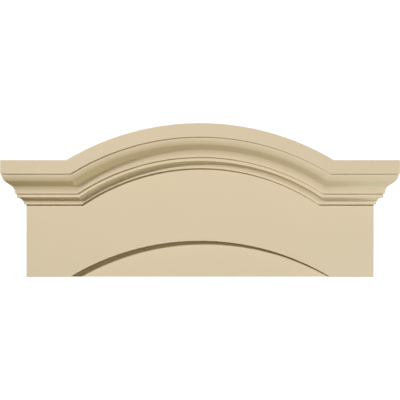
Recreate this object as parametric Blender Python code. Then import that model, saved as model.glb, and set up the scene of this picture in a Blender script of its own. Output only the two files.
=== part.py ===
"""Segmental pediment: a one-piece moulded door head under an arched crown.

The pediment is fixed to a wall by its flat back. The back lies in the plane y = 0, the front faces
-Y, +X runs to the right and +Z up. The origin is the fixing point on the back, at mid width.
A crown moulding runs along the top, rises over the middle in a segment of a circle, and returns
to the wall at both ends. The frieze below it has a shallow field whose upper edge is an arc.
"""
import math

import bmesh
import bpy

# Frieze: the flat board below the crown.
FRIEZE_WIDTH = 1.065
FRIEZE_HEIGHT = 0.2226
FRIEZE_THICKNESS = 0.036

# Arch: the top edge of the crown between its two straight stretches.
ARCH_SPAN = 0.803
ARCH_RISE = 0.111

# Crown profile, from its top edge down to the frieze.
FASCIA_HEIGHT = 0.0411
FASCIA_STEP = 0.0035
OGEE_HEIGHT = 0.0595
OGEE_DEPTH = 0.035
OGEE_BULGE_HEIGHT = 0.0232
OGEE_HOLLOW_HEIGHT = 0.024
OGEE_LEAN = math.radians(43)
OGEE_STEP = 0.0039
FILLET_HEIGHT = 0.011
COVE_HEIGHT = 0.017
COVE_DEPTH = 0.0188
COVE_SWEEP = math.radians(70)
FOOT_FILLET_HEIGHT = 0.0048
FOOT_FILLET_STEP = 0.0063

# Field: the shallow recess in the frieze, open at the foot.
FIELD_SPAN = 0.800
FIELD_RISE = 0.1111
FIELD_DEPTH = 0.0178

# Height of the fixing point above the foot.
FIXING_HEIGHT = 0.180

# How far the cutter of the field runs past the faces that it cuts.
CUT_MARGIN = 0.010

# Straight pieces that stand for each curve.
ARCH_SEGMENTS = 56
FIELD_SEGMENTS = 48
OGEE_ARC_SEGMENTS = 7
COVE_SEGMENTS = 6

# Largest angle between facets that are shaded as one curve.
SMOOTH_ANGLE = math.radians(25)

# Finish: a matte tan primer.
TAN = (0.70, 0.58, 0.41, 1.0)
TAN_ROUGHNESS = 0.6

CROWN_HEIGHT = FASCIA_HEIGHT + OGEE_HEIGHT + FILLET_HEIGHT + COVE_HEIGHT + FOOT_FILLET_HEIGHT
CROWN_PROJECTION = FASCIA_STEP + OGEE_DEPTH + OGEE_STEP + COVE_DEPTH + FOOT_FILLET_STEP
FOOT_Z = -FIXING_HEIGHT
CROWN_TOP_Z = FOOT_Z + FRIEZE_HEIGHT + CROWN_HEIGHT


def radius_over(span, rise):
    """Radius of the circle that rises by rise over a chord of length span."""
    return (span * span / 4 + rise * rise) / (2 * rise)


def arc_points(radius, chord_height, segments):
    """Points (x, height) of an arc over the chord at chord_height, measured from the circle's centre."""
    half_angle = math.acos(chord_height / radius)
    points = []
    for step in range(segments + 1):
        angle = half_angle * (2 * step / segments - 1)
        points.append((radius * math.sin(angle), radius * math.cos(angle)))
    return points


def turning_arc(start, radius, lean, end_lean, segments):
    """Arc down from a start point, while its lean away from the vertical goes from lean to end_lean."""
    drop, projection = start
    signed_radius = math.copysign(radius, end_lean - lean)
    points = []
    for step in range(1, segments + 1):
        angle = lean + (end_lean - lean) * step / segments
        down = signed_radius * (math.sin(angle) - math.sin(lean))
        back = signed_radius * (math.cos(lean) - math.cos(angle))
        points.append((drop + down, projection - back))
    return points


def ogee_points(start):
    """A bulge that begins upright, a steep straight slope, and a hollow that ends upright."""
    drop, projection = start
    bulge_radius = OGEE_BULGE_HEIGHT / math.sin(OGEE_LEAN)
    hollow_radius = OGEE_HOLLOW_HEIGHT / math.sin(OGEE_LEAN)
    hollow_depth = hollow_radius * (1 - math.cos(OGEE_LEAN))
    slope_end = (drop + OGEE_HEIGHT - OGEE_HOLLOW_HEIGHT, projection - OGEE_DEPTH + hollow_depth)
    bulge = turning_arc(start, bulge_radius, 0.0, OGEE_LEAN, OGEE_ARC_SEGMENTS)
    hollow = turning_arc(slope_end, hollow_radius, OGEE_LEAN, 0.0, OGEE_ARC_SEGMENTS)
    return bulge + [slope_end] + hollow


def cove_points(start):
    """A hollow arc that is nearly level under the fillet and nearly upright at its foot."""
    chord = math.hypot(COVE_HEIGHT, COVE_DEPTH)
    chord_lean = math.atan2(COVE_DEPTH, COVE_HEIGHT)
    half_sweep = COVE_SWEEP / 2
    radius = chord / (2 * math.sin(half_sweep))
    return turning_arc(start, radius, chord_lean + half_sweep, chord_lean - half_sweep, COVE_SEGMENTS)


def crown_profile():
    """The crown from its top edge to the frieze, as pairs of drop and projection."""
    points = [(0.0, CROWN_PROJECTION), (FASCIA_HEIGHT, CROWN_PROJECTION)]
    points.append((FASCIA_HEIGHT, CROWN_PROJECTION - FASCIA_STEP))
    points += ogee_points(points[-1])
    drop, projection = points[-1]
    points.append((drop, projection - OGEE_STEP))
    points.append((drop + FILLET_HEIGHT, projection - OGEE_STEP))
    points += cove_points(points[-1])
    drop, projection = points[-1]
    points.append((drop + FOOT_FILLET_HEIGHT, projection))
    points.append((drop + FOOT_FILLET_HEIGHT, projection - FOOT_FILLET_STEP))
    return points


def crown_row(drop, projection):
    """The way of one profile point: wall, corner, straight, arch, straight, corner, wall."""
    half_width = FRIEZE_WIDTH / 2 + projection
    front = -(FRIEZE_THICKNESS + projection)
    level = CROWN_TOP_Z - drop
    radius = radius_over(ARCH_SPAN, ARCH_RISE)
    centre = CROWN_TOP_Z + ARCH_RISE - radius
    row = [(-half_width, 0.0, level), (-half_width, front, level)]
    for x, height in arc_points(radius - drop, level - centre, ARCH_SEGMENTS):
        row.append((x, front, centre + height))
    row += [(half_width, front, level), (half_width, 0.0, level)]
    return row


def skin(mesh, upper, lower):
    """Fill the strip between two rows that have as many vertices."""
    for index in range(len(upper) - 1):
        mesh.faces.new((upper[index], upper[index + 1], lower[index + 1], lower[index]))


def pediment_mesh():
    """The whole body without its field: crown, top, returns, frieze, foot and back."""
    mesh = bmesh.new()
    rows = [[mesh.verts.new(point) for point in crown_row(*pair)] for pair in crown_profile()]
    for upper, lower in zip(rows, rows[1:]):
        skin(mesh, upper, lower)

    crest = rows[0]
    crest_back = [mesh.verts.new((vertex.co.x, 0.0, vertex.co.z)) for vertex in crest[2:-2]]
    back_edge = [crest[0]] + crest_back + [crest[-1]]
    skin(mesh, back_edge, crest[1:-1])

    crown_foot = rows[-1]
    corners = (crown_foot[0], crown_foot[1], crown_foot[-2], crown_foot[-1])
    foot = [mesh.verts.new((vertex.co.x, vertex.co.y, FOOT_Z)) for vertex in corners]
    mesh.faces.new((crown_foot[0], crown_foot[1], foot[1], foot[0]))
    mesh.faces.new((crown_foot[-2], crown_foot[-1], foot[3], foot[2]))
    mesh.faces.new(crown_foot[1:-1] + [foot[2], foot[1]])
    mesh.faces.new(foot)

    left_edge = [row[0] for row in rows[1:]] + [foot[0]]
    right_edge = [row[-1] for row in rows[1:]] + [foot[3]]
    mesh.faces.new(back_edge + right_edge + left_edge[::-1])
    bmesh.ops.recalc_face_normals(mesh, faces=mesh.faces)
    return mesh


def field_cutter_mesh():
    """A prism under the field's arc, from its floor out past the frieze and past the foot."""
    radius = radius_over(FIELD_SPAN, FIELD_RISE)
    chord_height = radius - FIELD_RISE
    floor = FIELD_DEPTH - FRIEZE_THICKNESS
    arc = arc_points(radius, chord_height, FIELD_SEGMENTS)
    outline = [(x, FOOT_Z + height - chord_height) for x, height in arc]
    outline += [(FIELD_SPAN / 2, FOOT_Z - CUT_MARGIN), (-FIELD_SPAN / 2, FOOT_Z - CUT_MARGIN)]
    mesh = bmesh.new()
    face = mesh.faces.new([mesh.verts.new((x, floor, z)) for x, z in outline])
    extruded = bmesh.ops.extrude_face_region(mesh, geom=[face])["geom"]
    front = [item for item in extruded if isinstance(item, bmesh.types.BMVert)]
    bmesh.ops.translate(mesh, verts=front, vec=(0.0, -(FIELD_DEPTH + CUT_MARGIN), 0.0))
    bmesh.ops.recalc_face_normals(mesh, faces=mesh.faces)
    return mesh


def add_object(name, mesh):
    """Turn a built mesh into an object of the scene."""
    data = bpy.data.meshes.new(name)
    mesh.to_mesh(data)
    mesh.free()
    item = bpy.data.objects.new(name, data)
    bpy.context.scene.collection.objects.link(item)
    return item


def primer_material():
    """Matte tan primer."""
    material = bpy.data.materials.new("tan_primer")
    material.use_nodes = True
    shader = material.node_tree.nodes["Principled BSDF"]
    shader.inputs["Base Color"].default_value = TAN
    shader.inputs["Roughness"].default_value = TAN_ROUGHNESS
    shader.inputs["Metallic"].default_value = 0.0
    return material


def cut(item, cutter):
    """Take the cutter's shape out of an object and keep the cutter out of sight."""
    cutter.hide_render = True
    cutter.display_type = "WIRE"
    difference = item.modifiers.new("field", "BOOLEAN")
    difference.operation = "DIFFERENCE"
    difference.solver = "EXACT"
    difference.object = cutter


def main():
    for item in list(bpy.data.objects):
        bpy.data.objects.remove(item, do_unlink=True)
    pediment = add_object("pediment", pediment_mesh())
    pediment.data.shade_smooth()
    pediment.data.set_sharp_from_angle(angle=SMOOTH_ANGLE)
    pediment.data.materials.append(primer_material())
    cut(pediment, add_object("field_cutter", field_cutter_mesh()))


main()
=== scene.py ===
"""Segmental pediment: the finish of a one-piece moulded door head, laid out as a Blender add-on.

The body is one section line, drawn at mid width from the top edge at the wall, over the crown, down
the frieze, into the field and along the foot back to the wall. A node tree carries each point of
that line along its own path: the crown's path rises in a segment of a circle and returns to the wall
at both ends, the field's path is the arc of the recess, and the foot's path is straight.
All lengths are metres. +Z is up, the front faces -Y and the wall is the plane y = 0.
"""
import math

import bmesh
import bpy
from bpy.props import FloatProperty, FloatVectorProperty, IntProperty, PointerProperty
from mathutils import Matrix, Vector


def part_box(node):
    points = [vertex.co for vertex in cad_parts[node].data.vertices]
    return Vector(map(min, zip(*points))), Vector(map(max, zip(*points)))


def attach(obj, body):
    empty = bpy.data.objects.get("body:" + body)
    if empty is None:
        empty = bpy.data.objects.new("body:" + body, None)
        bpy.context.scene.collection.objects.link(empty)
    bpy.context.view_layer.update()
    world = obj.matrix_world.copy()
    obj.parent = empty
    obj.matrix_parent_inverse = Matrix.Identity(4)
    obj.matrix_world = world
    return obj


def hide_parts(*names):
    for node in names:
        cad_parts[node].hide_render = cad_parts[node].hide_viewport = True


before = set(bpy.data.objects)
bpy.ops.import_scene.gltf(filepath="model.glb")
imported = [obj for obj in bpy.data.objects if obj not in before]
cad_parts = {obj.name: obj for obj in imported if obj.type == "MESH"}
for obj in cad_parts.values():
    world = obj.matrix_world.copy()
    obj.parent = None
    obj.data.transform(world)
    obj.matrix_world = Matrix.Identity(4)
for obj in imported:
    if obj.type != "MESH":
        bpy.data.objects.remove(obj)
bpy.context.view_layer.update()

bl_info = {
    "name": "Segmental pediment",
    "version": (1, 0, 0),
    "blender": (4, 5, 0),
    "location": "3D View > Sidebar > Pediment",
    "description": "Builds a moulded door head with its primer finish and its studio",
    "category": "Object",
}

# The node of the CAD model, its body and the corners of the box around it.
NODE = "pediment"
BODY = "root"
BODY_LOW, BODY_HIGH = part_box(NODE)

# The three paths that a point of the section line can follow.
CROWN_PATH = 0.0
FIELD_PATH = 1.0
FOOT_PATH = 2.0

# Facets of each small curve of the section line, and of each eased edge on it.
CURVE_STEPS = 10
EASING_STEPS = 4

# How far the frieze is drawn on past an edge, so that the edge has two sides and can be eased.
RUN_ON = 0.01

# Points closer than this become one.
WELD_DISTANCE = 1e-5

# Facets that meet at a smaller angle are shaded as one curve.
SMOOTH_ANGLE = math.radians(27)

# How much the larger faces rule the shading of an edge that they share; 100 is the most.
LARGE_FACE_WEIGHT = 100

# Noise of the primer: features to a metre, layers of detail and how rough they are.
BROAD_PATCHES = (5.0, 2.0, 0.5)
CLOUDS = (38.0, 4.0, 0.6)
SPRAY = (900.0, 2.0, 0.5)
NOISE_MEAN = 0.5

# How much the clouds and the spray add to the tone, set against the broad patches.
CLOUD_TONE = 0.8
SPRAY_TONE = 0.6

# How much the clouds add to the roughness, and to the relief next to the spray.
CLOUD_ROUGHNESS = 0.12
CLOUD_RELIEF = 1.5
RELIEF_STRENGTH = 0.5
PRIMER_SPECULAR = 0.35

# Distant lights: name, way, spread in degrees, strength and colour.
KEY_LIGHTS = (
    ("key_light", (0.88, 1.0, -0.69), 6.0, 3.176, (1.0, 0.996, 0.953)),
    ("steep_key_light", (0.60, 1.0, -0.72), 6.0, 0.723, (0.716, 0.812, 1.0)),
)
SOFT_SUNS = (
    ("low_light", (-0.50, 0.0, 0.866), 30.0, 0.955, (1.0, 0.781, 0.125)),
    ("back_left_light", (0.70, -1.0, -0.50), 20.0, 1.6, (1.0, 1.0, 1.0)),
    ("back_right_light", (-0.80, -1.0, -0.30), 20.0, 0.9, (1.0, 1.0, 1.0)),
)

# Square lights that face the pediment: name, place, width, strength and colour.
PANELS = (
    ("front_panel", (-0.2, -1.5, 0.3), 0.5, 0.118, (1.0, 0.924, 0.729)),
    ("right_panel", (1.8, -0.2, -0.6), 0.4, 0.406, (0.786, 0.852, 1.0)),
    ("near_panel", (0.9, 0.1, -1.0), 0.4, 0.197, (0.655, 0.904, 1.0)),
)

# The white behind everything, a little over full white so that it stays even.
BACKDROP_WHITE = 1.06

# The floor: a matt pale grey disc.
FLOOR_GREY = 0.85
FLOOR_ROUGHNESS = 0.9
FLOOR_SEGMENTS = 128

# The camera: sensor and lens in millimetres, and the nearest thing that it sees in metres.
SENSOR_WIDTH = 36.0
LENS = 90.0
NEAREST_SEEN = 0.1


class CrownSizes(bpy.types.PropertyGroup):
    """Sizes of the crown moulding and its arch."""

    arch_span: FloatProperty(
        name="Arch span", description="Width of the arch at the straight top edge",
        default=0.803, min=0.1, unit="LENGTH")
    arch_rise: FloatProperty(
        name="Arch rise", description="Height of the arch above the straight top edge",
        default=0.111, min=0.01, unit="LENGTH")
    fascia_height: FloatProperty(
        name="Fascia height", description="Height of the flat band at the top",
        default=0.0411, min=0.005, unit="LENGTH")
    fascia_step: FloatProperty(
        name="Fascia step", description="Depth of the ledge under the fascia",
        default=0.0035, min=0.001, unit="LENGTH")
    ogee_height: FloatProperty(
        name="Ogee height", description="Height of the S-shaped curve",
        default=0.0595, min=0.01, unit="LENGTH")
    ogee_depth: FloatProperty(
        name="Ogee depth", description="Depth of the S-shaped curve",
        default=0.035, min=0.005, unit="LENGTH")
    bulge_height: FloatProperty(
        name="Bulge height", description="Height of the ogee's rounded upper part",
        default=0.0232, min=0.002, unit="LENGTH")
    hollow_height: FloatProperty(
        name="Hollow height", description="Height of the ogee's hollow lower part",
        default=0.024, min=0.002, unit="LENGTH")
    ogee_lean: FloatProperty(
        name="Ogee lean", description="Lean of the bulge and the hollow at the slope",
        default=math.radians(43), min=0.1, max=1.5, unit="ROTATION")
    ogee_step: FloatProperty(
        name="Ogee step", description="Depth of the ledge under the ogee",
        default=0.0039, min=0.001, unit="LENGTH")
    fillet_height: FloatProperty(
        name="Fillet height", description="Height of the flat band above the cove",
        default=0.011, min=0.002, unit="LENGTH")
    cove_height: FloatProperty(
        name="Cove height", description="Height of the hollow curve",
        default=0.017, min=0.005, unit="LENGTH")
    cove_depth: FloatProperty(
        name="Cove depth", description="Depth of the hollow curve",
        default=0.0188, min=0.005, unit="LENGTH")
    cove_sweep: FloatProperty(
        name="Cove sweep", description="Angle through which the hollow curve turns",
        default=math.radians(70), min=0.1, max=1.5, unit="ROTATION")
    foot_fillet_height: FloatProperty(
        name="Lower fillet height", description="Height of the band at the foot of the crown",
        default=0.0048, min=0.002, unit="LENGTH")
    foot_fillet_step: FloatProperty(
        name="Lower fillet step", description="Depth of the ledge over the frieze",
        default=0.0063, min=0.001, unit="LENGTH")

    def height(self):
        """Height of the crown at its straight ends."""
        bands = self.fascia_height + self.fillet_height + self.foot_fillet_height
        return bands + self.ogee_height + self.cove_height

    def projection(self):
        """How far the crown stands out from the frieze."""
        ledges = self.fascia_step + self.ogee_step + self.foot_fillet_step
        return ledges + self.ogee_depth + self.cove_depth


class FriezeSizes(bpy.types.PropertyGroup):
    """Sizes of the recessed field and the eased edges, and the facets of the long curves."""

    field_span: FloatProperty(
        name="Field span", description="Width of the recessed field at the foot",
        default=0.800, min=0.1, unit="LENGTH")
    field_rise: FloatProperty(
        name="Field rise", description="Height of the recessed field above the foot",
        default=0.1111, min=0.01, unit="LENGTH")
    field_depth: FloatProperty(
        name="Field depth", description="Depth of the recessed field",
        default=0.0178, min=0.002, unit="LENGTH")
    outer_easing: FloatProperty(
        name="Outer easing", description="Radius of the edges that stand out",
        default=0.0006, min=0.0001, max=0.003, unit="LENGTH")
    inner_easing: FloatProperty(
        name="Inner easing", description="Radius of the corners that lie in",
        default=0.0005, min=0.0001, max=0.003, unit="LENGTH")
    arch_steps: IntProperty(
        name="Arch steps", description="Facets in half of each arch",
        default=60, min=8, max=200)
    corner_steps: IntProperty(
        name="Corner steps", description="Facets in each eased upright corner",
        default=3, min=1, max=8)


class PrimerFinish(bpy.types.PropertyGroup):
    """The sprayed primer that covers the whole body."""

    colour: FloatVectorProperty(
        name="Primer colour", description="Colour of the tan primer",
        default=(0.700, 0.580, 0.410), min=0.0, max=1.0, size=3, subtype="COLOR")
    roughness: FloatProperty(
        name="Roughness", description="How matt the primer is",
        default=0.58, min=0.0, max=1.0, subtype="FACTOR")
    mottling: FloatProperty(
        name="Mottling", description="How much the tone varies from place to place",
        default=0.03, min=0.0, max=0.5, subtype="FACTOR")
    grain_depth: FloatProperty(
        name="Grain depth", description="Depth of the fine spray texture",
        default=0.00004, min=0.0, max=0.001, unit="LENGTH")


class StudioSettings(bpy.types.PropertyGroup):
    """The camera, the lights and the floor."""

    camera_distance: FloatProperty(
        name="Camera distance", description="From the front of the crown",
        default=3.0, min=0.5, unit="LENGTH")
    camera_height: FloatProperty(
        name="Camera height", description="Above the fixing point",
        default=0.0564, unit="LENGTH")
    camera_side: FloatProperty(
        name="Camera side", description="To the right of the middle",
        default=-0.0001, unit="LENGTH")
    key_strength: FloatProperty(
        name="Key lights", description="Strength of the lights from the upper left, as a factor",
        default=1.0, min=0.0)
    fill_strength: FloatProperty(
        name="Fill lights", description="Strength of all other lights, as a factor",
        default=1.0, min=0.0)
    floor_drop: FloatProperty(
        name="Floor drop", description="How far the floor lies below the foot",
        default=1.1, min=0.0, unit="LENGTH")
    floor_radius: FloatProperty(
        name="Floor radius", description="Radius of the round floor",
        default=9.0, min=1.0, unit="LENGTH")
    floor_glow: FloatProperty(
        name="Floor glow", description="How bright the floor stays in a shadow",
        default=0.8, min=0.0, max=1.0, subtype="FACTOR")


class Wire:
    """A value in a node tree. Sums and products on it add the Math nodes that work them out."""

    def __init__(self, sheet, socket):
        self.sheet = sheet
        self.socket = socket

    def math(self, operation, *values, clamp=False):
        settings = {"operation": operation, "use_clamp": clamp}
        return self.sheet.node("ShaderNodeMath", settings, dict(enumerate(values)))[0]

    def __add__(self, other):
        return self.math("ADD", self, other)

    __radd__ = __add__

    def __sub__(self, other):
        return self.math("SUBTRACT", self, other)

    def __rsub__(self, other):
        return self.math("SUBTRACT", other, self)

    def __mul__(self, other):
        return self.math("MULTIPLY", self, other)

    __rmul__ = __mul__

    def __truediv__(self, other):
        return self.math("DIVIDE", self, other)

    def __rtruediv__(self, other):
        return self.math("DIVIDE", other, self)

    def __lt__(self, other):
        return self.math("LESS_THAN", self, other)

    def __gt__(self, other):
        return self.math("GREATER_THAN", self, other)

    def __abs__(self):
        return self.math("ABSOLUTE", self)

    def apply(self, operation, *others):
        """Any other operation of the Math node."""
        return self.math(operation, self, *others)

    def clamped(self):
        """The value kept between 0 and 1."""
        return self.math("ADD", self, 0.0, clamp=True)


def find_socket(sockets, key):
    """The socket with that number, or the first one in use with that name."""
    if isinstance(key, int):
        return sockets[key]
    return next(socket for socket in sockets if socket.name == key and socket.enabled)


class Outputs:
    """The outputs of one node, by name or number."""

    def __init__(self, sheet, item):
        self.sheet = sheet
        self.item = item

    def __getitem__(self, key):
        return Wire(self.sheet, find_socket(self.item.outputs, key))


class Sheet:
    """A node tree that is filled from Python."""

    def __init__(self, tree):
        self.tree = tree

    def node(self, kind, settings=None, values=None):
        """Add a node: its settings first, then the values or wires of its sockets."""
        item = self.tree.nodes.new(kind)
        for name, setting in (settings or {}).items():
            setattr(item, name, setting)
        for key, value in (values or {}).items():
            socket = find_socket(item.inputs, key)
            if isinstance(value, Wire):
                self.tree.links.new(value.socket, socket)
            else:
                socket.default_value = value
        return Outputs(self, item)


def empty_sheet(owner):
    """The cleared node tree of a material or a world."""
    owner.use_nodes = True
    owner.node_tree.nodes.clear()
    return Sheet(owner.node_tree)


def place_object(name, data):
    """Put a mesh, a light or a camera into the scene as an object of that name."""
    item = bpy.data.objects.new(name, data)
    bpy.context.scene.collection.objects.link(item)
    return item


def eased_line(corners):
    """A line through the corners (y, z, radius), with an arc for each corner that has a radius."""
    points = []
    for index, (y, z, radius) in enumerate(corners):
        here = Vector((y, z))
        if radius == 0.0 or index in (0, len(corners) - 1):
            points.append(here)
            continue
        before = (Vector(corners[index - 1][:2]) - here).normalized()
        after = (Vector(corners[index + 1][:2]) - here).normalized()
        half_angle = before.angle(after) / 2
        reach = radius / math.tan(half_angle)
        centre = here + (before + after).normalized() * (radius / math.sin(half_angle))
        start = here + before * reach - centre
        turn = start.angle_signed(here + after * reach - centre)
        for step in range(EASING_STEPS + 1):
            angle = -turn * step / EASING_STEPS
            cosine, sine = math.cos(angle), math.sin(angle)
            points.append(centre + Vector((start.x * cosine - start.y * sine,
                                           start.x * sine + start.y * cosine)))
    return points


def turning_arc(start, radius, lean, end_lean):
    """Arc down from a start point, while its lean from the vertical goes from lean to end_lean."""
    y, z = start
    signed_radius = math.copysign(radius, end_lean - lean)
    points = []
    for step in range(1, CURVE_STEPS + 1):
        angle = lean + (end_lean - lean) * step / CURVE_STEPS
        down = signed_radius * (math.sin(angle) - math.sin(lean))
        back = signed_radius * (math.cos(lean) - math.cos(angle))
        points.append((y + back, z - down))
    return points


def ogee_curve(crown, start):
    """A bulge, a steep slope and a hollow; the bulge begins upright and the hollow ends upright."""
    lean = crown.ogee_lean
    bulge = turning_arc(start, crown.bulge_height / math.sin(lean), 0.0, lean)
    hollow_radius = crown.hollow_height / math.sin(lean)
    hollow_start = (start[0] + crown.ogee_depth - hollow_radius * (1 - math.cos(lean)),
                    start[1] - crown.ogee_height + crown.hollow_height)
    return bulge + [hollow_start] + turning_arc(hollow_start, hollow_radius, lean, 0.0)


def cove_curve(crown, start):
    """A hollow arc that is nearly level under the fillet and nearly upright at its foot."""
    chord = math.hypot(crown.cove_height, crown.cove_depth)
    chord_lean = math.atan2(crown.cove_depth, crown.cove_height)
    half_sweep = crown.cove_sweep / 2
    radius = chord / (2 * math.sin(half_sweep))
    return turning_arc(start, radius, chord_lean + half_sweep, chord_lean - half_sweep)


def crown_corners(crown, top, front, outer, inner):
    """The corners (y, z, radius) of the crown from its top edge down to its ledge on the frieze."""
    corners = [(front, top, outer), (front, top - crown.fascia_height, outer)]
    y, z = front + crown.fascia_step, top - crown.fascia_height
    corners.append((y, z, inner))

    curve = ogee_curve(crown, (y, z))
    corners += [(*point, 0.0) for point in curve[:-1]]
    y, z = curve[-1]
    corners.append((y, z, outer))
    y += crown.ogee_step
    corners.append((y, z, inner))
    z -= crown.fillet_height
    corners.append((y, z, outer))

    curve = cove_curve(crown, (y, z))
    corners += [(*point, 0.0) for point in curve]
    y, z = curve[-1]
    z -= crown.foot_fillet_height
    corners.append((y, z, outer))
    corners.append((y + crown.foot_fillet_step, z, inner))
    return corners


def section_line(crown, frieze):
    """The section at mid width as rows of (y, z, half width, path)."""
    top, foot, front = BODY_HIGH.z, BODY_LOW.z, BODY_LOW.y
    outer, inner = frieze.outer_easing, frieze.inner_easing
    half_frieze = BODY_HIGH.x - crown.projection()
    frieze_y = front + crown.projection()
    floor_y = frieze_y + frieze.field_depth
    crest_z = foot + frieze.field_rise

    upper = [(0.0, top, 0.0)] + crown_corners(crown, top, front, outer, inner)
    upper.append((frieze_y, top - crown.height() - RUN_ON, 0.0))
    rows = []
    for point in eased_line(upper)[:-1]:
        rows.append((point.x, point.y, half_frieze + frieze_y - point.x, CROWN_PATH))

    # At the wall the top is as wide as it is at the front.
    rows[0] = (0.0, top, rows[1][2], CROWN_PATH)

    lower = [(frieze_y, crest_z + RUN_ON, 0.0), (frieze_y, crest_z, outer),
             (floor_y, crest_z, inner), (floor_y, foot, 0.0)]
    for point in eased_line(lower)[1:-1]:
        rows.append((point.x, point.y, half_frieze, FIELD_PATH))
    rows.append((floor_y, foot, half_frieze, FOOT_PATH))
    rows.append((0.0, foot, half_frieze, FOOT_PATH))
    return rows


def section_object(rows):
    """The section line as an object, with each point's half width and path as attributes."""
    mesh = bpy.data.meshes.new("section")
    points = [(0.0, y, z) for y, z, _, _ in rows]
    mesh.from_pydata(points, [(end - 1, end) for end in range(1, len(points))], [])
    for name, column in (("half_width", 2), ("path", 3)):
        values = mesh.attributes.new(name, "FLOAT", "POINT").data
        for value, row in zip(values, rows):
            value.value = row[column]
    return place_object("section", mesh)


def new_tree(name, inputs, outputs):
    """An empty geometry node tree with its named inputs and outputs."""
    tree = bpy.data.node_groups.new(name, "GeometryNodeTree")
    for in_out, sockets in (("INPUT", inputs), ("OUTPUT", outputs)):
        for label, kind in sockets:
            tree.interface.new_socket(label, in_out=in_out, socket_type="NodeSocket" + kind)
    return tree


def radius_over(span, rise):
    """Radius of the circle that rises by rise over a chord of length span."""
    return (span * span / 4 + rise * rise) / (rise * 2)


def sweep_tree():
    """Node tree that carries a section line along the paths of the crown, the field and the foot."""
    lengths = ("Crown top", "Crown span", "Crown rise", "Frieze front", "Foot",
               "Field span", "Field rise", "Corner radius")
    inputs = [("Section", "Geometry")] + [(name, "Float") for name in lengths]
    inputs += [("Arch steps", "Int"), ("Corner steps", "Int"), ("Finish", "Material")]
    sheet = Sheet(new_tree("sweep_section", inputs, [("Body", "Geometry")]))
    given = sheet.node("NodeGroupInput")
    section, easing = given["Section"], given["Corner radius"]

    # The grid has one row for each section point and one column for each stop on the way along the
    # front. From the middle to the wall, the stops are the arch's, one at the end of the straight,
    # the eased corner's and one at the end of the return.
    arch_end = given["Arch steps"]
    straight_end = arch_end + 1
    corner_end = straight_end + given["Corner steps"]
    return_end = corner_end + 1
    rows = sheet.node("GeometryNodeAttributeDomainSize", {"component": "MESH"},
                      {"Geometry": section})["Point Count"]
    grid = sheet.node("GeometryNodeMeshGrid", {},
                      {"Vertices X": return_end * 2 + 1, "Vertices Y": rows})

    # The grid counts its points column by column. The added half keeps the division off whole
    # numbers, where rounding could put a point into the column before its own.
    index = sheet.node("GeometryNodeInputIndex")["Index"]
    column = ((index + 0.5) / rows).apply("FLOOR")
    row = index - column * rows
    away = abs(column - return_end)
    side = (column - return_end).apply("SIGN")

    def from_section(kind, value):
        settings = {"data_type": kind, "domain": "POINT"}
        return sheet.node("GeometryNodeSampleIndex", settings,
                          {"Geometry": section, "Value": value, "Index": row})["Value"]

    def number_on_section(name):
        stored = sheet.node("GeometryNodeInputNamedAttribute", {"data_type": "FLOAT"},
                            {"Name": name})["Attribute"]
        return from_section("FLOAT", stored)

    position = sheet.node("GeometryNodeInputPosition")["Position"]
    drawn = sheet.node("ShaderNodeSeparateXYZ", {},
                       {"Vector": from_section("FLOAT_VECTOR", position)})
    y, z = drawn["Y"], drawn["Z"]
    half_width = number_on_section("half_width")
    path = number_on_section("path")
    on_crown = path < (CROWN_PATH + FIELD_PATH) / 2
    on_foot = path > (FIELD_PATH + FOOT_PATH) / 2
    on_field = 1 - on_crown - on_foot

    # The circle of each section point: its radius, and how high the chord lies above its centre.
    crown_radius = radius_over(given["Crown span"], given["Crown rise"]) - (given["Crown top"] - z)
    field_radius = radius_over(given["Field span"], given["Field rise"])
    field_chord = field_radius - given["Field rise"]
    radius = (on_crown * crown_radius + on_field * (field_chord + z - given["Foot"])
              + on_foot * field_radius)
    chord = on_crown * (crown_radius - given["Crown rise"]) + (1 - on_crown) * field_chord

    # How far this column lies along the arch, the straight, the eased corner and the return.
    arch_part = (away / arch_end).clamped()
    straight_part = (away - arch_end).clamped()
    corner_turn = ((away - straight_end) / given["Corner steps"]).clamped() * (math.pi / 2)
    return_part = (away - corner_end).clamped()

    angle = (chord / radius).apply("ARCCOSINE") * arch_part
    arch_x = radius * angle.apply("SINE")
    x = (arch_x + straight_part * (half_width - easing - arch_x)
         + easing * corner_turn.apply("SINE"))

    # Beside the field, its rows shrink onto the front edge of the foot.
    beside = straight_part * (1 - on_crown)
    front = y + beside * (y < -WELD_DISTANCE) * (given["Frieze front"] - y)
    eased = (front + easing * (1 - corner_turn.apply("COSINE"))).apply("MINIMUM", 0.0)
    sag = radius * (1 - angle.apply("COSINE")) * (1 - on_foot)

    place = sheet.node("ShaderNodeCombineXYZ", {}, {
        "X": x * side, "Y": eased * (1 - return_part), "Z": z - sag})["Vector"]
    body = sheet.node("GeometryNodeSetPosition", {}, {"Geometry": grid["Mesh"], "Position": place})

    # The arch meets the straight within half a stop of the arch's end.
    at_mitre = abs(away - arch_end) < 0.5
    body = sheet.node("GeometryNodeStoreNamedAttribute", {"data_type": "BOOLEAN", "domain": "POINT"},
                      {"Geometry": body["Geometry"], "Name": "mitre", "Value": at_mitre})
    body = sheet.node("GeometryNodeMergeByDistance", {},
                      {"Geometry": body["Geometry"], "Distance": WELD_DISTANCE})
    body = sheet.node("GeometryNodeRealizeInstances", {}, {"Geometry": body["Geometry"]})
    body = sheet.node("GeometryNodeSetMaterial", {},
                      {"Geometry": body["Geometry"], "Material": given["Finish"]})
    sheet.node("NodeGroupOutput", {}, {"Body": body["Geometry"]})
    return sheet.tree


def settled_mesh(item, modifier):
    """The mesh of an object with its modifier worked out, which then comes off."""
    settled = item.evaluated_get(bpy.context.evaluated_depsgraph_get())
    mesh = bpy.data.meshes.new_from_object(settled)
    item.modifiers.remove(modifier)
    return mesh


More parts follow.
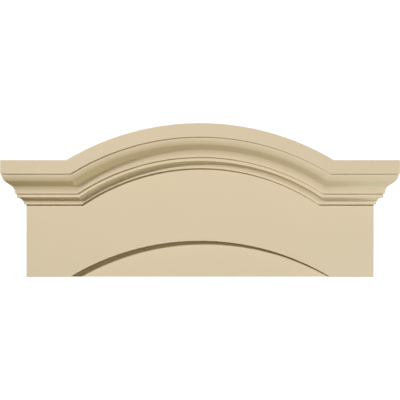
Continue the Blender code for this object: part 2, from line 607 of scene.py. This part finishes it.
def run_tree(item, tree, values):
    """Put a node tree on an object with its named inputs, and return the result as a plain mesh."""
    modifier = item.modifiers.new(tree.name, "NODES")
    modifier.node_group = tree
    for socket in tree.interface.items_tree:
        if socket.in_out == "INPUT" and socket.name in values:
            modifier[socket.identifier] = values[socket.name]
    return settled_mesh(item, modifier)


def close_back(mesh):
    """Fill the open back in the plane of the wall and turn all faces outwards."""
    body = bmesh.new()
    body.from_mesh(mesh)
    bmesh.ops.holes_fill(body, edges=[edge for edge in body.edges if edge.is_boundary], sides=0)
    bmesh.ops.recalc_face_normals(body, faces=body.faces)
    body.to_mesh(mesh)
    body.free()


def mark_sharp_edges(mesh):
    """Shade the curves smooth, and keep the corners and the mitres sharp."""
    mesh.shade_smooth()
    mesh.set_sharp_from_angle(angle=SMOOTH_ANGLE)
    at_mitre = [value.value for value in mesh.attributes["mitre"].data]
    for edge in mesh.edges:
        if all(at_mitre[vertex] for vertex in edge.vertices):
            edge.use_edge_sharp = True
    mesh.attributes.remove(mesh.attributes["mitre"])


def settle_normals(item):
    """Let the large flat faces rule the shading next to the eased edges."""
    modifier = item.modifiers.new("even_shading", "WEIGHTED_NORMAL")
    modifier.mode = "FACE_AREA"
    modifier.weight = LARGE_FACE_WEIGHT
    modifier.keep_sharp = True
    item.data = settled_mesh(item, modifier)


def primer_material(finish):
    """Matt tan primer: slightly mottled, with the fine texture of a sprayed coat."""
    material = bpy.data.materials.new("tan_primer")
    sheet = empty_sheet(material)
    place = sheet.node("ShaderNodeTexCoord")["Object"]

    def noise(scale, detail, roughness):
        return sheet.node("ShaderNodeTexNoise", {"noise_dimensions": "3D"}, {
            "Vector": place, "Scale": scale, "Detail": detail, "Roughness": roughness})["Fac"]

    broad, cloudy, spray = noise(*BROAD_PATCHES), noise(*CLOUDS), noise(*SPRAY)
    tone = 1 + finish.mottling * ((broad - NOISE_MEAN) + (cloudy - NOISE_MEAN) * CLOUD_TONE
                                  + (spray - NOISE_MEAN) * SPRAY_TONE)
    colour = sheet.node("ShaderNodeVectorMath", {"operation": "SCALE"},
                        {0: tuple(finish.colour), "Scale": tone})["Vector"]
    roughness = finish.roughness + (cloudy - NOISE_MEAN) * CLOUD_ROUGHNESS
    relief = spray + cloudy * CLOUD_RELIEF
    bump = sheet.node("ShaderNodeBump", {}, {
        "Strength": RELIEF_STRENGTH, "Distance": finish.grain_depth, "Height": relief})["Normal"]
    shader = sheet.node("ShaderNodeBsdfPrincipled", {}, {
        "Base Color": colour, "Roughness": roughness, "Normal": bump,
        "Specular IOR Level": PRIMER_SPECULAR})["BSDF"]
    sheet.node("ShaderNodeOutputMaterial", {}, {"Surface": shader})
    return material


class PEDIMENT_OT_body(bpy.types.Operator):
    """Build the moulded body with its eased edges and its primer finish"""

    bl_idname = "pediment.body"
    bl_label = "Moulded body"

    def execute(self, context):
        scene = context.scene
        crown, frieze = scene.pediment_crown, scene.pediment_frieze
        finish = primer_material(scene.pediment_primer)
        section = section_object(section_line(crown, frieze))
        mesh = run_tree(section, sweep_tree(), {
            "Crown top": BODY_HIGH.z, "Crown span": crown.arch_span, "Crown rise": crown.arch_rise,
            "Frieze front": BODY_LOW.y + crown.projection(), "Foot": BODY_LOW.z,
            "Field span": frieze.field_span, "Field rise": frieze.field_rise,
            "Corner radius": frieze.outer_easing, "Arch steps": frieze.arch_steps,
            "Corner steps": frieze.corner_steps, "Finish": finish})
        bpy.data.objects.remove(section)
        close_back(mesh)
        mark_sharp_edges(mesh)

        # The mesh comes with an empty place for a material before its own.
        mesh.materials.clear()
        mesh.materials.append(finish)
        body = place_object("moulded_body", mesh)
        settle_normals(body)
        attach(body, BODY)
        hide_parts(NODE)
        return {"FINISHED"}


def aim(item, travel):
    """Turn a light so that it shines along a direction."""
    item.rotation_euler = Vector(travel).to_track_quat("-Z", "Y").to_euler()


def sun(name, travel, spread, strength, colour):
    """A distant light that shines along a direction, softened by its spread."""
    data = bpy.data.lights.new(name, "SUN")
    data.energy = strength
    data.color = colour
    data.angle = math.radians(spread)
    aim(place_object(name, data), travel)


def panel(name, place, width, strength, colour):
    """A square light that faces the pediment and gives it the same light from any distance."""
    to_middle = (BODY_LOW + BODY_HIGH) / 2 - Vector(place)
    data = bpy.data.lights.new(name, "AREA")
    data.size = width
    data.energy = strength * 4 * math.pi * to_middle.length_squared
    data.color = colour
    item = place_object(name, data)
    item.location = place
    aim(item, to_middle)


def white_surroundings():
    """Plain white behind everything for the camera, without light on the pediment."""
    world = bpy.data.worlds.new("white_studio")
    bpy.context.scene.world = world
    sheet = empty_sheet(world)
    seen = sheet.node("ShaderNodeLightPath")["Is Camera Ray"]
    white = sheet.node("ShaderNodeBackground", {}, {
        "Color": (1, 1, 1, 1), "Strength": seen * BACKDROP_WHITE})["Background"]
    sheet.node("ShaderNodeOutputWorld", {}, {"Surface": white})


def pale_floor(studio):
    """A round pale floor far below. It throws no light back up and lets the low light through."""
    material = bpy.data.materials.new("pale_floor")
    sheet = empty_sheet(material)
    shader = sheet.node("ShaderNodeBsdfPrincipled", {}, {
        "Base Color": (FLOOR_GREY, FLOOR_GREY, FLOOR_GREY, 1), "Roughness": FLOOR_ROUGHNESS,
        "Specular IOR Level": 0.0,
        "Emission Color": (1, 1, 1, 1), "Emission Strength": studio.floor_glow})["BSDF"]
    sheet.node("ShaderNodeOutputMaterial", {}, {"Surface": shader})

    disc = bmesh.new()
    bmesh.ops.create_circle(disc, cap_ends=True, segments=FLOOR_SEGMENTS,
                            radius=studio.floor_radius)
    bmesh.ops.translate(disc, verts=disc.verts, vec=(0, 0, BODY_LOW.z - studio.floor_drop))
    mesh = bpy.data.meshes.new("floor")
    disc.to_mesh(mesh)
    disc.free()
    mesh.materials.append(material)
    floor = place_object("floor", mesh)
    floor.visible_diffuse = False
    floor.visible_glossy = False
    floor.visible_shadow = False


def studio_camera(studio):
    """The camera, level and square to the wall."""
    camera = place_object("camera", bpy.data.cameras.new("camera"))
    camera.data.sensor_width = SENSOR_WIDTH
    camera.data.lens = LENS
    camera.data.clip_start = NEAREST_SEEN
    camera.location = (studio.camera_side, BODY_LOW.y - studio.camera_distance,
                       studio.camera_height)
    camera.rotation_euler = (math.pi / 2, 0.0, 0.0)
    bpy.context.scene.camera = camera


class PEDIMENT_OT_studio(bpy.types.Operator):
    """Set up the pale floor, the lights and the camera"""

    bl_idname = "pediment.studio"
    bl_label = "Studio"

    def execute(self, context):
        studio = context.scene.pediment_studio
        context.scene.view_settings.view_transform = "Standard"
        white_surroundings()
        pale_floor(studio)
        for name, travel, spread, strength, colour in KEY_LIGHTS:
            sun(name, travel, spread, strength * studio.key_strength, colour)
        for name, travel, spread, strength, colour in SOFT_SUNS:
            sun(name, travel, spread, strength * studio.fill_strength, colour)
        for name, place, width, strength, colour in PANELS:
            panel(name, place, width, strength * studio.fill_strength, colour)
        studio_camera(studio)
        return {"FINISHED"}


class PEDIMENT_PT_sidebar(bpy.types.Panel):
    """Sizes, finish and studio of the pediment"""

    bl_idname = "PEDIMENT_PT_sidebar"
    bl_label = "Segmental pediment"
    bl_space_type = "VIEW_3D"
    bl_region_type = "UI"
    bl_category = "Pediment"

    def draw(self, context):
        for group, kind, heading in SETTINGS:
            column = self.layout.column(heading=heading)
            for name in kind.__annotations__:
                column.prop(getattr(context.scene, group), name)
        for operator in OPERATORS:
            self.layout.operator(operator.bl_idname)


SETTINGS = (
    ("pediment_crown", CrownSizes, "Crown"),
    ("pediment_frieze", FriezeSizes, "Frieze"),
    ("pediment_primer", PrimerFinish, "Primer"),
    ("pediment_studio", StudioSettings, "Studio"),
)
OPERATORS = (PEDIMENT_OT_body, PEDIMENT_OT_studio)


def register():
    for name, kind, _ in SETTINGS:
        bpy.utils.register_class(kind)
        setattr(bpy.types.Scene, name, PointerProperty(type=kind))
    for kind in (*OPERATORS, PEDIMENT_PT_sidebar):
        bpy.utils.register_class(kind)


def unregister():
    for kind in (PEDIMENT_PT_sidebar, *reversed(OPERATORS)):
        bpy.utils.unregister_class(kind)
    for name, kind, _ in reversed(SETTINGS):
        delattr(bpy.types.Scene, name)
        bpy.utils.unregister_class(kind)


def main():
    register()
    bpy.ops.pediment.body()
    bpy.ops.pediment.studio()


if __name__ == "__main__":
    main()
